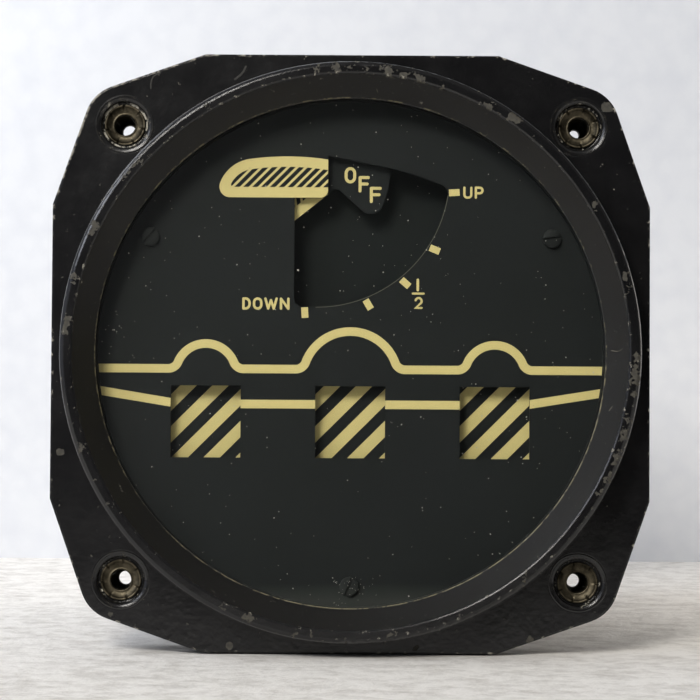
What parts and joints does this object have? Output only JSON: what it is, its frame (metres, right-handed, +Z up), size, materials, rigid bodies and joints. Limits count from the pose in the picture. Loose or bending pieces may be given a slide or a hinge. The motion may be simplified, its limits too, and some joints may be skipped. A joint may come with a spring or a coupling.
{
  "type": "wheel and flap position indicator",
  "caption": "Round panel instrument with a square flange, a glazed black dial with a flap pointer and wheel windows, and a pin socket at the back.",
  "frame": {"origin": "centre of the flange's front face, on the instrument's axis", "axes": "-Y out of the dial towards the viewer, +X to the right seen from the front, +Z up; the case and the socket lie on +Y"},
  "size_m": [0.0826, 0.0884, 0.0826],
  "materials": {
    "black_enamel": "satin black enamel, chipped at the rim",
    "case_enamel": "satin black enamel",
    "dial_paint": "matt black paint",
    "movement_paint": "matt black paint",
    "screw_paint": "black oxide",
    "cream_enamel": "aged cream enamel",
    "cover_glass": "clear glass",
    "black_rubber": "matt",
    "insert_steel": "worn plated steel",
    "screw_steel": "satin plated steel",
    "shaft_steel": "ground steel",
    "core_steel": "stacked sheet steel",
    "magnet_alloy": "cast magnet alloy",
    "aluminium": "turned and clear finished",
    "receptacle_metal": "dull olive plated aluminium",
    "brass": "plain",
    "copper": "plain copper",
    "copper_wire": "enamelled copper wire",
    "pin_plating": "bright plated brass",
    "jewel": "clear red stone",
    "phenolic": "brown laminate",
    "insulator_plastic": "moulded black",
    "wire_insulation": "white covering"
  },
  "bodies": {
    "instrument": {"front_housing": "black_enamel", "mounting_inserts": "insert_steel", "cover_glass": "cover_glass", "glass_gasket": "black_rubber", "glass_spacer": "dial_paint", "dial_plate": "dial_paint", "dial_aircraft_outline": "cream_enamel", "dial_wing_symbol": "cream_enamel", "dial_scale_ticks": "cream_enamel", "dial_screws": "screw_paint", "front_plate": "movement_paint", "plate_screws": "screw_steel", "plate_pillars": "aluminium", "rear_plate": "aluminium", "board_posts": "aluminium", "flap_stator_core": "core_steel", "flap_stator_winding": "copper_wire", "flap_stator_sleeve": "aluminium", "flap_damping_shell": "copper", "flap_jewels": "jewel", "left_wheel_frame": "aluminium", "left_wheel_core": "core_steel", "left_wheel_coils": "copper_wire", "centre_wheel_frame": "aluminium", "centre_wheel_core": "core_steel", "centre_wheel_coils": "copper_wire", "right_wheel_frame": "aluminium", "right_wheel_core": "core_steel", "right_wheel_coils": "copper_wire", "pull_off_magnets": "magnet_alloy", "terminal_board": "phenolic", "terminal_lugs": "brass", "pin_wires": "wire_insulation", "rear_case": "case_enamel", "case_gasket": "black_rubber", "case_posts": "aluminium", "case_screws": "screw_steel", "receptacle_shell": "receptacle_metal", "receptacle_insulator": "insulator_plastic", "contact_pins": "pin_plating", "receptacle_gasket": "black_rubber", "receptacle_screws": "screw_steel"},
    "flap": {"flap_staff": "shaft_steel", "flap_rotor_magnet": "magnet_alloy", "flap_pointer": "dial_paint", "flap_hatching": "cream_enamel", "flap_hub": "brass", "flap_balance_weight": "brass"},
    "left_wheel": {"left_wheel_drum": "dial_paint", "left_wheel_shaft": "shaft_steel", "left_wheel_magnet": "magnet_alloy", "left_drum_markings": "cream_enamel"},
    "centre_wheel": {"centre_wheel_drum": "dial_paint", "centre_wheel_shaft": "shaft_steel", "centre_wheel_magnet": "magnet_alloy", "centre_drum_markings": "cream_enamel"},
    "right_wheel": {"right_wheel_drum": "dial_paint", "right_wheel_shaft": "shaft_steel", "right_wheel_magnet": "magnet_alloy", "right_drum_markings": "cream_enamel"}
  },
  "joints": [
    {"name": "flap_pivot", "type": "hinge", "parent": "instrument", "child": "flap", "pos_m": [-0.00486, 0.02, 0.02492], "axis": [0, -1, 0], "range_deg": [0, 126], "stiffness_Nm_per_rad": 0.0002},
    {"name": "left_drum_axle", "type": "hinge", "parent": "instrument", "child": "left_wheel", "pos_m": [-0.02004, 0.01597, -0.0095], "axis": [1, 0, 0], "range_deg": [-60, 60], "stiffness_Nm_per_rad": 0.0002},
    {"name": "centre_drum_axle", "type": "hinge", "parent": "instrument", "child": "centre_wheel", "pos_m": [0, 0.01597, -0.0095], "axis": [1, 0, 0], "range_deg": [-60, 60], "stiffness_Nm_per_rad": 0.0002},
    {"name": "right_drum_axle", "type": "hinge", "parent": "instrument", "child": "right_wheel", "pos_m": [0.02004, 0.01597, -0.0095], "axis": [1, 0, 0], "range_deg": [-60, 60], "stiffness_Nm_per_rad": 0.0002}
  ]
}
